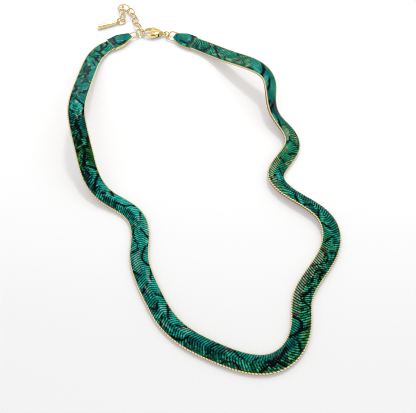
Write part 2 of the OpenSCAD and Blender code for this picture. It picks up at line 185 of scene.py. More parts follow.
# Bright lines of small scales, in the same form as the dark bands
BRIGHTS = [
    (0.3, (60.5, -0.6), (63, 1), (66, 2.6), (68.5, 1.6), (71.5, -0.5)),
    (0.25, (62, -0.6), (64.5, 1), (67, 0.3), (66.5, -1.6), (63.5, -2)),
    (0.3, (66.2, -2.2), (68, -0.7), (69.5, 0.3)), (0.3, (75, 0.8), (76.2, -0.6), (78, -0.4)),
    (0.3, (74.5, -1.8), (77, -1)), (0.28, (78.4, -0.2), (80.4, 1.6), (82.4, 0.8), (84, 0.1)),
    (0.25, (78.6, -0.6), (80.4, -1.8), (82.6, -0.9), (84.4, -1)),
    (0.25, (79.6, 0.1), (81, 0.7), (82, -0.2), (81, -0.9)),
    (0.4, (84.5, -2.4), (88, -2.2), (90.5, -2.6)), (0.3, (88.8, 0), (91, 1.4), (92, 2.4)),
    (0.35, (91.4, 0.2), (93.4, 1.8), (95.6, 0.9), (98, -0.9)),
    (0.35, (100.4, -0.6), (101.5, -1.6), (103, -2.6)), (0.3, (102.5, -0.8), (104.5, -2)),
    (0.3, (111, -0.8), (114, -1)), (0.3, (165, -1.2), (169.5, -1.6)),
    (0.3, (171, 0.8), (174, 1.2), (174.3, 0)), (0.3, (180.6, 0.2), (182, -1.8)),
    (0.3, (187.5, 2.8), (189, 0.6), (188, -0.6)), (0.35, (193.8, 0.3), (195, -1.8)),
    (0.4, (201.5, -0.6), (204, -1), (206.5, -0.4)), (0.35, (211, -1.9), (213.6, -0.2)),
    (0.4, (215, -0.8), (218, -1.6)), (0.35, (222, 0.2), (223.6, -1.4), (225.6, -0.4)),
    (0.3, (228, 0.6), (228.5, -1.8)), (0.6, (230.3, -1.8), (231.6, -0.9)),
    (0.3, (233.6, -0.4), (238, -1.4)), (0.35, (261.5, 0.6), (263.6, 2), (265.6, 1.4)),
    (0.3, (266.2, 2.9), (269, 0.9), (271.4, -0.3)), (0.3, (272.8, 0.8), (275, -0.3)),
    (0.35, (278.3, 2), (280.2, 0.8), (281.8, -0.6)), (0.5, (284.4, 1), (288, 0.8)),
    (0.4, (293, -0.8), (296, -0.6)), (0.8, (328, 2.9), (331, 2.4)), (0.4, (334.8, 2.9), (336, 1.4)),
    (0.8, (347, 2.9), (350.4, 2.7)), (0.9, (355.8, 2.2), (357.6, 0.6)),
    (0.25, (353.6, 1.8), (355.6, 0.6), (357.6, -0.9)), (0.35, (372, 1.5), (375, 1.8), (377, 0.8)),
    (0.3, (377.5, 2.8), (380, 1.5), (383, 1.4)), (0.45, (386.6, 0.6), (388, 2.6)),
    (0.35, (393.5, 1.5), (395.5, -1)), (0.4, (2, -2), (2.6, 0)), (0.5, (5.6, -1.8), (7, -0.6)),
    (0.4, (6.4, 1.6), (8.2, 2.4)), (0.4, (17.6, -0.6), (19.6, -2)),
    (0.35, (19.6, 0.9), (21.4, 2.6)), (0.35, (24, 1.8), (27, 1.2)), (0.3, (51.8, -2.8), (56, -2.8)),
    (0.25, (47.5, 2.4), (52, 1.2)),
]

# Light scales of the print, and painted glints and sheen where the chain catches the light: along,
# across, half length, half width
PALE_SCALES_AND_GLINTS = [
    (7.5, 1.4, 1, 0.6), (10, -2.6, 0.8, 0.4), (24, -0.6, 1.5, 0.5), (14.7, 2.6, 1.2, 0.4),
    (2.6, -1.4, 0.5, 0.8), (34.6, -0.5, 0.9, 0.35), (38.3, -0.9, 1.6, 0.35),
    (43.5, -0.6, 1.4, 0.35), (41.4, 2.2, 1, 0.4), (51, -0.8, 0.9, 0.5), (54.5, -0.9, 1.3, 0.4),
    (29.5, -2.8, 1.3, 0.3), (36, -2.8, 1.1, 0.3), (56.6, -0.5, 0.8, 0.3), (61.6, -0.4, 1, 0.8),
    (67.5, 1.8, 2, 0.4), (69.5, 0.2, 1.6, 0.4), (121.6, 1, 1.4, 0.7), (126, 2.3, 2.6, 0.6),
    (125.4, -0.4, 0.9, 0.4), (123.6, -1.2, 0.9, 0.5), (132, 2.6, 1.2, 0.5), (137.5, -0.3, 1.6, 0.6),
    (141, -1.2, 3, 1), (146, 1.5, 1.4, 0.5), (149.5, 1.2, 1.4, 0.5), (152, -0.7, 2, 0.5),
    (161.5, 0.8, 1.8, 0.5), (166.8, -1.5, 3, 0.3), (173, 1.9, 2, 0.6), (232, 2.3, 4.5, 0.9),
    (240, 2.3, 4, 0.9), (248, 2.2, 3.5, 0.9), (241.5, -0.8, 1.2, 0.4), (246, -1, 1.2, 0.4),
    (255, -0.6, 1, 0.4), (286.5, 2.5, 2, 0.7), (290, 2.6, 2, 0.6), (292.5, 0.9, 1.6, 0.5),
    (295, 2, 2.4, 0.7), (316, 2.4, 1.3, 0.6), (319.5, 1.6, 2, 1), (345.8, 2.6, 2.4, 0.6),
    (360.8, 1.4, 1.4, 0.6), (363, -0.6, 0.7, 1.3), (366, 1.7, 1.8, 0.5), (367.3, -1.6, 1.2, 0.5),
    (372.5, 2, 1.6, 0.4), (379.5, 1, 2, 0.4), (383.3, 1.9, 1.5, 0.4), (385.2, 1, 0.8, 0.5),
    (389, -2.1, 1.5, 0.6), (380.5, -1.6, 1.4, 0.5),
]

# Patches where the print turns sage, in the same form as the light scales
SAGE = [
    (7.5, 1.5, 1.2, 0.6), (10, -2.8, 1, 0.5), (14.5, 2.6, 1.4, 0.5), (24, -0.4, 2, 0.6),
    (41, 2.3, 1.2, 0.5), (293, 2, 5, 1.3), (300, 2, 6, 1.4), (306, -2.2, 5, 1), (309, 2, 3, 0.9),
    (322.5, 1.2, 2.5, 1.3), (315.5, 2.3, 1.8, 0.8), (319.5, 1.6, 1.8, 1.2), (318, -1.4, 4, 1.2),
    (361.5, 1.4, 2, 1.4), (363.5, -0.8, 1.2, 1.6), (368, 0.8, 3, 1.4), (367.5, -1.8, 2.2, 0.8),
    (373, 1.8, 2.4, 0.8), (380, 1.2, 2, 0.8), (383.5, 1.8, 1.8, 0.6),
]

# Patches of grass green, of brown and of deep blue-green, in the same form
GRASS = [
    (86, 2.1, 4.5, 1.5), (92.5, 2.9, 2, 0.6), (84.5, -2.3, 3, 0.8), (88.5, -2.6, 2.6, 0.7),
    (94, -2.9, 2, 0.5), (81, -1.4, 1.6, 0.8), (69, -3, 3, 0.5), (198, -2.8, 6, 0.6),
    (217, -2, 3, 0.8),
]
BROWN = [
    (224.3, 1.8, 0.8, 1.3), (231.5, 1.2, 0.8, 1.2), (240, 1.6, 0.7, 1.2), (245, 2.2, 0.9, 0.8),
    (252.6, 1.8, 1.2, 1.4), (258, 1.6, 1.4, 0.5), (221.6, -2.4, 1, 0.8), (161, 2.6, 0.8, 0.8),
    (148, 1.9, 2, 0.5), (105.5, 2.2, 2, 0.9), (103, -0.2, 1.4, 0.6), (171, 1.4, 2, 0.5),
    (188.5, 2.2, 2, 0.6), (298, -2.8, 2, 0.3),
]
NAVY = [
    (72, 0, 4, 1), (73, 2.4, 3.5, 0.8), (99, -1.4, 2.5, 1), (95.5, -1.6, 3, 1), (178, 0.2, 4, 1.2),
    (186.5, 0.8, 2, 1.6), (205, 0.6, 5, 1.2), (211, 1, 5, 0.9), (217.5, 0.4, 3, 0.8),
    (273, 2.1, 2.4, 1.1), (279, -0.4, 2, 0.7), (333.5, 0.6, 3.5, 1.4), (337, -1.2, 3.5, 1.5),
    (343, 2, 2, 0.8), (64, -3, 3, 0.5), (117, -0.6, 3, 0.7), (55, -3, 3, 0.5),
]

# How light, how yellow-green and how broken into small scales the print is, inside and outside
ZONES = np.array([
    # along, inside light, inside warm, outside light, outside warm, small scales
    (0, 0.74, 0.3, 0.69, 0.3, 0.1),
    (22, 0.7, 0.25, 0.64, 0.3, 0.1),
    (34, 0.58, 0.2, 0.48, 0.3, 0.1),
    (55, 0.6, 0.15, 0.56, 0.2, 0.1),
    (66, 0.79, 0.12, 0.66, 0.2, 0.2),
    (73, 0.38, 0.25, 0.19, 0.3, 0.7),
    (86, 0.43, 0.62, 0.17, 0.5, 1),
    (96, 0.56, 0.15, 0.38, 0.2, 0.8),
    (102, 0.94, 0.08, 0.54, 0.15, 0.6),
    (116, 0.92, 0.08, 0.62, 0.12, 0.5),
    (130, 0.83, 0.12, 0.73, 0.12, 0.25),
    (143, 0.76, 0.12, 0.62, 0.12, 0.25),
    (157, 0.76, 0.12, 0.64, 0.12, 0.3),
    (165, 0.72, 0.12, 0.6, 0.15, 0.4),
    (185, 0.64, 0.15, 0.5, 0.35, 0.5),
    (208, 0.54, 0.2, 0.58, 0.5, 0.5),
    (221, 0.66, 0.4, 0.62, 0.4, 0.6),
    (232, 0.5, 0.82, 0.58, 0.42, 0.9),
    (250, 0.68, 0.76, 0.6, 0.42, 0.8),
    (262, 0.69, 0.3, 0.61, 0.25, 0.3),
    (275, 0.6, 0.3, 0.56, 0.25, 0.3),
    (285, 0.57, 0.3, 0.54, 0.15, 0.2),
    (294, 0.74, 0.45, 0.66, 0.15, 0.2),
    (308, 0.76, 0.4, 0.63, 0.4, 0.3),
    (320, 0.7, 0.4, 0.61, 0.4, 0.1),
    (332, 0.48, 0.2, 0.3, 0.2, 0),
    (342, 0.74, 0.2, 0.78, 0.3, 0),
    (349, 0.76, 0.15, 0.74, 0.2, 0),
    (357, 0.67, 0.15, 0.78, 0.15, 0.1),
    (366, 0.55, 0.5, 0.66, 0.4, 0.2),
    (379, 0.55, 0.45, 0.7, 0.25, 0),
    (390, 0.46, 0.3, 0.61, 0.4, 0),
    (397, 0.46, 0.3, 0.61, 0.35, 0),
])

# What a sage patch adds to the lightness, and the warmth that it turns to
SAGE_LIGHT = -0.02
SAGE_WARM = 0.86

# Places along the chain between which the ink turns from soft to clear, and back to soft
SOFT_UNTIL = (64, 50)
SOFT_FROM = (350, 362)

# How clearly the plates show as ribs, through painted shade towards their grooves: along, inside,
# outside
RIBS = np.array([
    (0, 0.25, 0.25), (12, 0.4, 0.4), (22, 0.2, 0.25), (32, 0.1, 0.15), (60, 0.1, 0.2),
    (72, 0.3, 0.6), (84, 0.4, 0.7), (98, 0.05, 0.85), (118, 0.05, 0.9), (124, 0.4, 0.8),
    (135, 0.4, 0.75), (165, 0.42, 0.75), (200, 0.5, 0.75), (214, 0.6, 0.8), (226, 1, 1),
    (256, 1, 0.9), (264, 0.3, 1), (280, 0.4, 1), (286, 1, 0.6), (296, 1, 0.5), (308, 0.9, 0.8),
    (313, 0.4, 0.9), (316, 0.4, 1), (326, 0.3, 1), (332, 0.15, 0.4), (338, 0.6, 1), (350, 0.5, 1),
    (357, 0.25, 0.5), (372, 0.2, 0.4), (397, 0.3, 0.5),
])


def nearest_band(s, v, bands):
    """Distance in mm from each point to the edge of the nearest band, negative inside it."""
    best = np.full(np.shape(s), 9.0)
    for half, *points in bands:
        for (s0, v0), (s1, v1) in zip(points, points[1:]):
            ds, dv = s1 - s0, v1 - v0
            t = np.clip(((s - s0) * ds + (v - v0) * dv) / (ds * ds + dv * dv), 0, 1)
            best = np.minimum(best, np.hypot(s - s0 - t * ds, v - v0 - t * dv) - half)
    return best


def patch_strength(s, v, patches):
    """1 in the middle of a patch, falling to 0 outside it."""
    out = np.zeros(np.shape(s))
    for s0, v0, rs, rv in patches:
        out = np.maximum(out, np.exp(-(((s - s0) / rs) ** 2 + ((v - v0) / rv) ** 2) ** 1.5))
    return out


def soft_ink(s):
    """1 where the dark bands are greyer and softer, near both ends."""
    return np.maximum(smooth(*SOFT_UNTIL, s), smooth(*SOFT_FROM, s))


def along(table, column, s):
    """Value of one column of a table at s along the chain."""
    return np.interp(s, table[:, 0], table[:, column])


def rib_strength(s, v):
    inside = smooth(-0.6, 0.8, v)
    return inside * along(RIBS, 1, s) + (1 - inside) * along(RIBS, 2, s)


def zone_values(s, v):
    """Lightness, warmth and strength of the small scales at each point."""
    inside = smooth(-0.8, 1, v)
    light, warm = (
        inside * along(ZONES, k, s) + (1 - inside) * along(ZONES, k + 2, s) for k in (1, 2)
    )
    scales = along(ZONES, 5, s) * (1 - 0.8 * smooth(0, 1.4, v))
    sage = patch_strength(s, v, SAGE)
    return light + SAGE_LIGHT * sage, warm + (SAGE_WARM - warm) * sage, scales


# Shader node helpers
def socket(tree, value, target):
    """Links a socket to the target, or sets the target to a plain value."""
    if isinstance(value, bpy.types.NodeSocket):
        tree.links.new(value, target)
    else:
        target.default_value = value


def math_node(tree, operation, a, b, clamp=False):
    node = tree.nodes.new("ShaderNodeMath")
    node.operation = operation
    node.use_clamp = clamp
    socket(tree, a, node.inputs[0])
    socket(tree, b, node.inputs[1])
    return node.outputs[0]


def add(tree, a, b, clamp=False):
    return math_node(tree, "ADD", a, b, clamp)


def times(tree, a, b):
    return math_node(tree, "MULTIPLY", a, b)


def swing(tree, value, amount, middle=0.5):
    """How far a value lies from its middle, times amount."""
    return times(tree, math_node(tree, "SUBTRACT", value, middle), amount)


def mix_node(tree, factor, a, b):
    node = tree.nodes.new("ShaderNodeMix")
    node.data_type = "RGBA"
    socket(tree, factor, node.inputs["Factor"])
    socket(tree, a, node.inputs[6])
    socket(tree, b, node.inputs[7])
    return node.outputs[2]


def range_node(tree, value, low, high, out_low=0.0, out_high=1.0, soft=True):
    node = tree.nodes.new("ShaderNodeMapRange")
    node.interpolation_type = "SMOOTHSTEP" if soft else "LINEAR"
    socket(tree, value, node.inputs["Value"])
    limits = {"From Min": low, "From Max": high, "To Min": out_low, "To Max": out_high}
    for name, limit in limits.items():
        node.inputs[name].default_value = limit
    return node.outputs["Result"]


def noise_node(tree, vector, scale, detail=2.0, roughness=0.5):
    node = tree.nodes.new("ShaderNodeTexNoise")
    tree.links.new(vector, node.inputs["Vector"])
    node.inputs["Scale"].default_value = scale
    node.inputs["Detail"].default_value = detail
    node.inputs["Roughness"].default_value = roughness
    return node.outputs["Fac"]


def stretch_node(tree, vector, sx, sy, sz=1.0):
    node = tree.nodes.new("ShaderNodeMapping")
    tree.links.new(vector, node.inputs["Vector"])
    node.inputs["Scale"].default_value = (sx, sy, sz)
    return node.outputs["Vector"]


def skin_noise(tree, skin, stretch, detail, roughness=0.5):
    """Noise on the band, in mm stretched by so much along, across and upwards."""
    return noise_node(tree, stretch_node(tree, skin, *stretch), 1, detail, roughness)


def voronoi_node(tree, vector, feature):
    node = tree.nodes.new("ShaderNodeTexVoronoi")
    node.feature = feature
    tree.links.new(vector, node.inputs["Vector"])
    node.inputs["Scale"].default_value = 1
    return node.outputs


def ramp_node(tree, factor, colours):
    """Ramp through evenly spaced colours."""
    node = tree.nodes.new("ShaderNodeValToRGB")
    ramp = node.color_ramp
    while len(ramp.elements) < len(colours):
        ramp.elements.new(0.5)
    for k, (element, colour) in enumerate(zip(ramp.elements, colours)):
        element.position = k / (len(colours) - 1)
        element.color = colour
    tree.links.new(factor, node.inputs["Fac"])
    return node.outputs["Color"]


def attribute_node(tree, name):
    node = tree.nodes.new("ShaderNodeAttribute")
    node.attribute_name = name
    return node.outputs


def split_node(tree, vector):
    node = tree.nodes.new("ShaderNodeSeparateXYZ")
    tree.links.new(vector, node.inputs[0])
    return node.outputs


def split_attribute(tree, name):
    return split_node(tree, attribute_node(tree, name)["Vector"])


def coordinates(tree, kind):
    return tree.nodes.new("ShaderNodeTexCoord").outputs[kind]


def bump_node(tree, height, strength, distance):
    node = tree.nodes.new("ShaderNodeBump")
    node.inputs["Strength"].default_value = strength
    node.inputs["Distance"].default_value = distance
    tree.links.new(height, node.inputs["Height"])
    return node.outputs["Normal"]


def linear(c):
    return c / 255 / 12.92 if c < 10.3 else ((c / 255 + 0.055) / 1.055) ** 2.4


def rgb(r, g, b):
    """Linear colour from display values of 0 to 255."""
    return (linear(r), linear(g), linear(b), 1.0)


def new_material(name):
    material = bpy.data.materials.new(name)
    material.use_nodes = True
    tree = material.node_tree
    return material, tree, tree.nodes["Principled BSDF"].inputs


# Gold
GOLD_LIGHT = rgb(246, 222, 160)
GOLD_DEEP = rgb(234, 194, 112)
# Gold painted paler on the plates' rims as a highlight, and darker on their sides and underside as
# shade
GOLD_EDGE_HIGHLIGHT = rgb(254, 236, 186)
GOLD_UNDER_SHADE = rgb(150, 112, 62)
GOLD_GROOVE_SHADE = rgb(176, 120, 52)


def gold_colour(tree, place):
    tint = noise_node(tree, place, 260, 3)
    return mix_node(tree, range_node(tree, tint, 0.35, 0.65), GOLD_LIGHT, GOLD_DEEP)


def gold_material():
    material, tree, shader = new_material("polished_gold")
    place = coordinates(tree, "Object")
    socket(tree, gold_colour(tree, place), shader["Base Color"])
    shader["Metallic"].default_value = 1
    wear = noise_node(tree, place, 900, 4)
    socket(tree, range_node(tree, wear, 0.3, 0.7, 0.12, 0.26), shader["Roughness"])
    pits = noise_node(tree, place, 2600, 3)
    socket(tree, bump_node(tree, pits, 0.12, 0.00003), shader["Normal"])
    return material


def shaded_core_material():
    """Metal between the plates, near black as painted shade, gold at the edges of the chain."""
    material, tree, shader = new_material("core_metal_painted_shade")
    place = coordinates(tree, "Object")
    # Near black as painted shade in the gaps between the plates
    tint = mix_node(tree, noise_node(tree, place, 500, 3), rgb(16, 18, 14), rgb(64, 48, 24))
    tint = mix_node(tree, attribute_node(tree, "rim")["Fac"], tint, rgb(190, 130, 58))
    socket(tree, tint, shader["Base Color"])
    shader["Metallic"].default_value = 0.6
    wear = noise_node(tree, place, 900, 3)
    socket(tree, range_node(tree, wear, 0.3, 0.7, 0.35, 0.6), shader["Roughness"])
    pits = noise_node(tree, place, 2500, 2)
    socket(tree, bump_node(tree, pits, 0.2, 0.00003), shader["Normal"])
    return material


# Colours of the print, each from its darkest to its lightest shade
TEAL = [
    rgb(3, 18, 24), rgb(2, 60, 60), rgb(8, 116, 106), rgb(14, 158, 144), rgb(58, 202, 184),
]
GREEN = [
    rgb(3, 17, 12), rgb(2, 60, 42), rgb(8, 116, 82), rgb(14, 158, 112), rgb(56, 202, 146),
]
SAGE_GREEN = [
    rgb(12, 26, 16), rgb(34, 68, 50), rgb(88, 130, 96), rgb(150, 182, 132), rgb(222, 230, 180),
]
GRASS_GREEN = [
    rgb(2, 16, 8), rgb(6, 56, 26), rgb(20, 104, 44), rgb(46, 146, 66), rgb(100, 184, 100),
]
# Pale colour of light scales in the print, also used for the painted glints and sheen
PALE_SCALE_AND_GLINT = rgb(174, 218, 192)
DEEP_BLUE = rgb(6, 58, 70)
RUST = rgb(88, 52, 40)
GREY_VEIL = rgb(140, 160, 158)
GROOVE_SHADE = rgb(12, 14, 8)
INK_BLUE = rgb(6, 16, 26)
INK_BROWN = rgb(26, 24, 24)
INK_GREY = rgb(50, 60, 66)
SCALE_STRETCH = (1.08, 1.3, 0)


def skin_lightness(tree, skin, light, bright, scales, soft, shift):
    """Lightness of the print: the zone's value, broken by noise, small scales and bright lines."""
    light = add(tree, light, swing(tree, skin_noise(tree, skin, (0.16, 0.3), 3), 0.7))
    streak = skin_noise(tree, skin, (0.5, 1.6), 4, 0.6)
    streaky = add(tree, times(tree, soft, 0.7), 0.75)
    light = add(tree, light, swing(tree, streak, streaky))
    grain = skin_noise(tree, skin, (1.6, 2.4), 2, 0.6)
    light = add(tree, light, swing(tree, grain, 0.7, 0.48))

    cells = voronoi_node(tree, stretch_node(tree, skin, *SCALE_STRETCH), "F1")
    edges = voronoi_node(tree, stretch_node(tree, skin, *SCALE_STRETCH), "DISTANCE_TO_EDGE")
    pick = tree.nodes.new("ShaderNodeSeparateColor")
    tree.links.new(cells["Color"], pick.inputs[0])
    spread = swing(tree, pick.outputs[0], scales, 0.45)
    light = add(tree, light, times(tree, spread, 1.5))
    rims = times(tree, range_node(tree, edges["Distance"], 0.04, 0.2, 1, 0), scales)
    light = math_node(tree, "SUBTRACT", light, times(tree, rims, 0.45))
    glow = range_node(tree, add(tree, bright, shift), -0.2, 0.3, 0.46, 0)
    return add(tree, light, glow, clamp=True)


def skin_colour(tree, skin, dark, tone, bright, soft, tints):
    """Colour of the snakeskin print from mm on the band, the drawn bands and the zone values."""
    light, warm, scales = tone
    ragged = noise_node(tree, skin, 0.9, 4, 0.65)
    shift = swing(tree, ragged, 1.5)
    light = skin_lightness(tree, skin, light, bright, scales, soft, shift)
    warm = add(tree, warm, swing(tree, skin_noise(tree, skin, (0.1, 0.25, 3), 2), 0.5))
    warm = add(tree, warm, swing(tree, skin_noise(tree, skin, (0.9, 1.1, 5), 3, 0.6), 0.8))

    teal, green, sage, grassy = (
        ramp_node(tree, light, shades) for shades in (TEAL, GREEN, SAGE_GREEN, GRASS_GREEN)
    )
    colour = mix_node(tree, range_node(tree, warm, 0.15, 0.5), teal, green)
    colour = mix_node(tree, range_node(tree, warm, 0.5, 0.95), colour, sage)

    grass, brown, navy = tints
    in_grass = range_node(tree, add(tree, grass, shift), 0.25, 0.75)
    colour = mix_node(tree, in_grass, colour, grassy)
    colour = mix_node(tree, times(tree, navy, 0.8), colour, DEEP_BLUE)
    in_brown = range_node(tree, add(tree, brown, shift), 0.3, 0.8, 0, 0.85)
    colour = mix_node(tree, in_brown, colour, RUST)
    colour = mix_node(tree, times(tree, soft, 0.07), colour, GREY_VEIL)

    smudge = skin_noise(tree, skin, (0.26, 0.5, 7), 4, 0.62)
    smudge = range_node(tree, smudge, 0.55, 0.68, 0, 0.6)
    band = range_node(tree, add(tree, dark, shift), -0.12, 0.25, 1, 0)
    band = math_node(tree, "MAXIMUM", band, smudge)
    turn = range_node(tree, noise_node(tree, skin, 0.07, 1), 0.42, 0.6)
    ink = mix_node(tree, turn, INK_BLUE, INK_BROWN)
    ink = mix_node(tree, soft, ink, INK_GREY)
    return mix_node(tree, band, colour, ink)


def skin_material():
    """Print and gold rim of a plate or an enamel, from the vectors that each mesh carries."""
    material, tree, shader = new_material("printed_snakeskin")
    skin = attribute_node(tree, "skin")["Vector"]
    dark, pale_and_glint, printed = split_attribute(tree, "marks")
    bright, groove_shade, soft = split_attribute(tree, "lines")
    tone = split_attribute(tree, "zone")
    tints = split_attribute(tree, "tints")
    colour = skin_colour(tree, skin, dark, tone, bright, soft, tints)
    speck = range_node(tree, noise_node(tree, skin, 1.3, 3), 0.4, 0.6)
    # Pale scales of the print and painted glints and sheen, broken up by specks
    colour = mix_node(tree, times(tree, pale_and_glint, times(tree, speck, 0.85)), colour, PALE_SCALE_AND_GLINT)
    # Painted shade towards each plate's groove: near black on the print, deeper gold on the beads
    colour = mix_node(tree, times(tree, groove_shade, 0.9), colour, GROOVE_SHADE)

    # The rim is gold painted paler as a highlight, and its sides and underside are painted darker
    # as shade
    bead = mix_node(tree, 0.8, gold_colour(tree, coordinates(tree, "Object")), GOLD_EDGE_HIGHLIGHT)
    bead = mix_node(tree, range_node(tree, printed, -0.8, -0.1, 1, 0), bead, GOLD_UNDER_SHADE)
    bead = mix_node(tree, range_node(tree, groove_shade, 0.6, 1, 0, 0.45), bead, GOLD_GROOVE_SHADE)
    uneven = swing(tree, noise_node(tree, skin, 2, 2), 0.3)
    edge = range_node(tree, add(tree, printed, uneven), 0.4, 0.6)
    socket(tree, mix_node(tree, edge, bead, colour), shader["Base Color"])
    socket(tree, range_node(tree, edge, 0, 1, 0.15, 0, soft=False), shader["Metallic"])
    gloss = range_node(tree, noise_node(tree, skin, 1.5, 3), 0.3, 0.7, 0.2, 0.36)
    socket(tree, gloss, shader["Roughness"])
    shader["Specular IOR Level"].default_value = 0.02
    pits = noise_node(tree, skin, 5, 3)
    socket(tree, bump_node(tree, pits, 0.25, 0.00004), shader["Normal"])
    return material


# Mesh helpers
def tube_faces(rows, sides, base=0):
    """Faces of a closed tube of rings with so many sides, its two ends among them."""
    faces = []
    for r in range(rows - 1):
        for c in range(sides):
            a = base + r * sides + c
            b = base + r * sides + (c + 1) % sides
            faces.append((a, b, b + sides, a + sides))
    faces.append(tuple(base + c for c in reversed(range(sides))))
    faces.append(tuple(base + (rows - 1) * sides + c for c in range(sides)))
    return faces


def mesh_piece(name, points, faces, material):
    mesh = bpy.data.meshes.new(name)
    mesh.from_pydata([tuple(map(float, p)) for p in points], [], faces)
    mesh.update()
    mesh.shade_smooth()
    mesh.materials.append(material)
    piece = bpy.data.objects.new(name, mesh)
    scene.collection.objects.link(piece)
    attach(piece, "necklace")
    return piece


def add_vectors(piece, name, x, y, z):
    """Gives each point of a piece a named vector. A plain number goes to every point."""
    count = len(piece.data.vertices)
    values = np.stack([np.broadcast_to(part, count) for part in (x, y, z)], -1)
    attribute = piece.data.attributes.new(name, "FLOAT_VECTOR", "POINT")
    attribute.data.foreach_set("vector", np.ascontiguousarray(values, np.float32).ravel())


# The chain, in mm: one chevron plate per link, printed on top and gold at its sides and below,
# the gold painted paler on the rim as a highlight. Plates stand PITCH apart, and each reaches
# PLATE_HALF to both sides of its middle line. The print fades out between the two widths in
# PRINT_TO, and the underside, painted darker as shade, fades in between the two heights in
# UNDER_FROM. Each plate shifts and lightens its print by up to the JITTERs
PITCH = 0.92
PLATE_HALF = 0.37
CHEVRON = 0.54
CHEVRON_SOFT = 0.35
CHEVRON_MIDDLE = 1.75
UNDER_CAP = 4
RIDGE_V = 0.3
RIDGE_SOFT = 0.5
ROOF = 0.13
CROWN = 1.7
EDGE_FROM = 2.9
EDGE_V = 3.5
EDGE_FALL = 0.14
PRINT_TO = (2.93, 3.13)
UNDER_FROM = (1.2, 0.8)
END_GAP = 0.02
JITTER_ALONG = 0.12
JITTER_ACROSS = 0.22
JITTER_LIGHT = 0.09
RIB_LIGHT = 0.1
CORE_INSET = 0.3
CORE_END_GAP = 0.05
CORE_RINGS = 400


def crown_height(v):
    x = v - RIDGE_V
    roof = CROWN - ROOF * (np.sqrt(x * x + RIDGE_SOFT**2) - RIDGE_SOFT)
    return roof - EDGE_FALL * smooth(EDGE_FROM, EDGE_V, np.abs(v)) ** 2


def plate_outline():
    """Closed outline of a plate, across and up, with its outward normals and its finish:
    1 where it is printed, 0 on the rim, which is painted paler as a highlight, and -1 on the
    sides and underside, which are painted darker as shade."""
    top = np.linspace(3.25, -3.25, 27)
    side = [(3.42, 1.2), (EDGE_V, 1.02), (3.47, 0.76), (3.18, 0.4), (2.7, 0.06)]
    bottom = [(-1.6, 0.02), (0, 0.02), (1.6, 0.02)]
    left = [(-v, h) for v, h in side]
    right = side[::-1]
    points = np.array([(v, crown_height(v)) for v in top] + left + bottom + right)
    after = np.roll(points, -1, 0) - np.roll(points, 1, 0)
    normals = unit(np.stack([after[:, 1], -after[:, 0]], -1))
    outward = np.sign((normals * (points - [0, 0.8])).sum(1))[:, None]
    on_top = 1 - smooth(*PRINT_TO, np.abs(top))
    below = -smooth(*UNDER_FROM, points[len(top):, 1])
    return points, normals * outward, np.r_[on_top, below]


OUTLINE, OUTLINE_NORMALS, PRINTED = plate_outline()

# Rings of a plate: place along it as a share of its half length, how far the ring is drawn in,
# and how dark the painted shade towards its groove is
PROFILE = [
    (-1, 0.26, 1), (-0.86, 0.08, 0.95), (-0.5, 0.015, 0.42), (0, 0, 0),
    (0.5, 0.015, 0.42), (0.86, 0.08, 0.95), (1, 0.26, 1),
]


def outline_drawn_in(inset):
    v, h = (OUTLINE - inset * OUTLINE_NORMALS).T
    return v, h


def chevron(v, s):
    """How far a plate's line is shifted along the chain at v. It dies out under the caps."""
    x = v - RIDGE_V
    shape = CHEVRON * (np.sqrt(x * x + CHEVRON_SOFT**2) - CHEVRON_MIDDLE)
    return shape * np.clip(np.minimum(s, CHAIN_LEN - s) / UNDER_CAP, 0, 1)


def plate_rings(s_mid):
    rings = []
    for place, inset, _ in PROFILE:
        s = s_mid + chevron(OUTLINE[:, 0], s_mid) + place * PLATE_HALF
        rings.append(np.stack([s, *outline_drawn_in(inset)], -1))
    return np.array(rings)


def chain_plates(name, first, last, material):
    """Plates first to last in one piece, each with a little of its own shift and lightness."""
    rng = np.random.default_rng(first + 7)
    sides, rows = len(OUTLINE), len(PROFILE)
    count = last - first
    step = CHAIN_LEN / PLATES
    all_rings = np.array([plate_rings((k + 0.5) * step) for k in range(first, last)])
    s, v, h = np.moveaxis(all_rings.reshape(-1, 3), -1, 0)
    s = np.clip(s, END_GAP, CHAIN_LEN - END_GAP)
    faces = []
    for k in range(count):
        faces += tube_faces(rows, sides, k * rows * sides)
    piece = mesh_piece(name, band_point(s, v, h), faces, material)

    jitter = np.repeat(rng.uniform(-1, 1, (count, 3)), rows * sides, 0)
    js, jv = s + JITTER_ALONG * jitter[:, 0], v + JITTER_ACROSS * jitter[:, 1]
    light, warm, scales = zone_values(js, jv)
    ribs = rib_strength(s, v)
    light = light + JITTER_LIGHT * jitter[:, 2] + RIB_LIGHT * ribs
    # Painted shade towards each plate's groove, stronger where the ribs show clearly
    groove_shade = np.tile(np.repeat([dark for _, _, dark in PROFILE], sides), count)
    groove_shade = np.where(groove_shade < 1, groove_shade * ribs, 1)
    printed = np.tile(PRINTED, rows * count)
    tints = [patch_strength(js, jv, patches) for patches in (GRASS, BROWN, NAVY)]
    add_vectors(piece, "skin", js, jv, 0)
    add_vectors(piece, "marks", nearest_band(js, jv, BANDS), patch_strength(js, jv, PALE_SCALES_AND_GLINTS), printed)
    add_vectors(piece, "zone", light, warm, scales)
    add_vectors(piece, "lines", nearest_band(js, jv, BRIGHTS), groove_shade, soft_ink(s))
    add_vectors(piece, "tints", *tints)
    return piece


def chain_core(material):
    """Core that shows between the plates, dark as painted shade under the print and gold at the
    edges.
    """
    v, h = outline_drawn_in(CORE_INSET)
    sides = len(v)
    s = np.repeat(np.linspace(CORE_END_GAP, CHAIN_LEN - CORE_END_GAP, CORE_RINGS), sides)
    points = band_point(s, np.tile(v, CORE_RINGS), np.tile(h, CORE_RINGS))
    core = mesh_piece("chain_core", points, tube_faces(CORE_RINGS, sides), material)
    rim = np.tile(smooth(2.7, 3, np.abs(v)), CORE_RINGS)
    add_vectors(core, "rim", rim, rim, rim)


